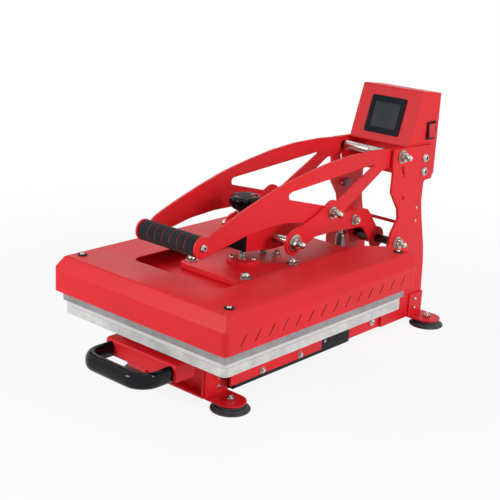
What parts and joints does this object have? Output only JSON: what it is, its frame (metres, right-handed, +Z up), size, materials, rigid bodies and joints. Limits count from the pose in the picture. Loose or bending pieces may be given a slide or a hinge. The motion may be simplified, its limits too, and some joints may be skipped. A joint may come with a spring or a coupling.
{
  "type": "slide-out heat press",
  "caption": "Red lever heat press with a drawer platen, a floating heating head on a toggle linkage, a gas spring and a tilted control screen.",
  "frame": {"origin": "middle of the bounding box on the table surface", "axes": "+X to the machine's right as its user stands at the lever, +Y to the rear, +Z up"},
  "size_m": [0.432, 0.8644, 0.5106],
  "materials": {
    "red_paint": "satin powder coat",
    "rubber": "matte",
    "black_steel": "satin black",
    "bright_steel": "bright zinc",
    "black_plastic": "moulded satin",
    "screen": "glossy, switched off",
    "red_plastic": "glossy",
    "aluminium": "cast, lightly brushed",
    "silicone": "matte silicone",
    "insulation": "mineral wool",
    "foam": "soft foam"
  },
  "bodies": {
    "base": {"left_side_rail": "red_paint", "right_side_rail": "red_paint", "front_cross_member": "red_paint", "rear_cross_member": "red_paint", "front_left_foot_bracket": "red_paint", "front_left_foot": "rubber", "front_right_foot_bracket": "red_paint", "front_right_foot": "rubber", "rear_left_foot_bracket": "red_paint", "rear_left_foot": "rubber", "rear_right_foot_bracket": "red_paint", "rear_right_foot": "rubber", "left_post": "red_paint", "right_post": "red_paint", "post_brace": "red_paint", "main_hinge_shaft": "black_steel", "top_pivot_shaft": "bright_steel", "control_box": "red_paint", "screen_bezel": "black_plastic", "screen_glass": "screen", "switch_frame": "black_plastic", "power_inlet": "black_plastic", "spring_anchor": "black_steel", "left_slide_outer": "black_steel", "right_slide_outer": "black_steel"},
    "power_rocker": {"power_rocker": "red_plastic"},
    "slide_middles": {"left_slide_middle": "black_steel", "right_slide_middle": "black_steel"},
    "drawer": {"lower_platen": "aluminium", "silicone_pad": "silicone", "left_drawer_plate": "red_paint", "right_drawer_plate": "red_paint", "left_slide_inner": "black_steel", "right_slide_inner": "black_steel", "drawer_front_bracket": "red_paint", "drawer_pull": "black_plastic"},
    "press_head": {"press_beam": "red_paint", "beam_end_cap": "black_plastic", "lift_shaft": "bright_steel", "spring_shaft": "bright_steel", "threaded_bush": "bright_steel"},
    "heating_head": {"cover": "red_paint", "head_tray": "red_paint", "backing_plate": "red_paint", "insulation": "insulation", "heating_platen": "aluminium"},
    "pressure_screw": {"pressure_screw": "bright_steel", "pressure_knob": "black_plastic"},
    "handle": {"left_arm": "red_paint", "right_arm": "red_paint", "grip_rod": "bright_steel", "foam_grip": "foam"},
    "links": {"left_link": "red_paint", "right_link": "red_paint", "left_knee_pin": "bright_steel", "right_knee_pin": "bright_steel"},
    "spring_tubes": {"spring_tube": "black_steel"},
    "spring_rods": {"spring_rod": "bright_steel"}
  },
  "joints": [
    {"name": "press_open", "type": "hinge", "parent": "base", "child": "press_head", "pos_m": [0, 0.29915, 0.197], "axis": [-1, 0, 0], "range_deg": [0, 40]},
    {"name": "head_float", "type": "slide", "parent": "press_head", "child": "heating_head", "axis": [0, 0, 1], "range_m": [0, 0.004]},
    {"name": "screw_turn", "type": "hinge", "parent": "heating_head", "child": "pressure_screw", "pos_m": [0, -0.09785, 0.27], "axis": [0, 0, 1], "range_deg": [-1, 721]},
    {"name": "handle_turn", "type": "hinge", "parent": "base", "child": "handle", "pos_m": [0, 0.28915, 0.384], "axis": [-1, 0, 0], "range_deg": [-1, 72]},
    {"name": "link_turn", "type": "hinge", "parent": "press_head", "child": "links", "pos_m": [0, -0.04284, 0.26198], "axis": [1, 0, 0], "range_deg": [-1, 80]},
    {"name": "spring_lean", "type": "hinge", "parent": "base", "child": "spring_tubes", "pos_m": [0, 0.20515, 0.042], "axis": [-1, 0, 0], "range_deg": [-1, 13]},
    {"name": "spring_stroke", "type": "slide", "parent": "spring_tubes", "child": "spring_rods", "axis": [0, 0.0286, 0.9996], "range_m": [-0.001, 0.053]},
    {"name": "drawer_slide", "type": "slide", "parent": "base", "child": "drawer", "axis": [0, -1, 0], "range_m": [0, 0.32]},
    {"name": "middle_slide", "type": "slide", "parent": "base", "child": "slide_middles", "axis": [0, -1, 0], "range_m": [-0.001, 0.161]},
    {"name": "power_switch", "type": "hinge", "parent": "base", "child": "power_rocker", "pos_m": [0.0792, 0.39715, 0.426], "axis": [0, 1, 0], "range_deg": [0, 14]}
  ],
  "couplings": [
    {"joint": "handle_turn", "follows": "press_open", "ratio": 1.7725},
    {"joint": "link_turn", "follows": "press_open", "ratio": 1.97},
    {"joint": "spring_lean", "follows": "press_open", "ratio": 0.3021},
    {"joint": "spring_stroke", "follows": "press_open", "m_per_rad": 0.073144},
    {"joint": "screw_turn", "follows": "head_float", "rad_per_m": 3141.6},
    {"joint": "middle_slide", "follows": "drawer_slide", "ratio": 0.5}
  ]
}
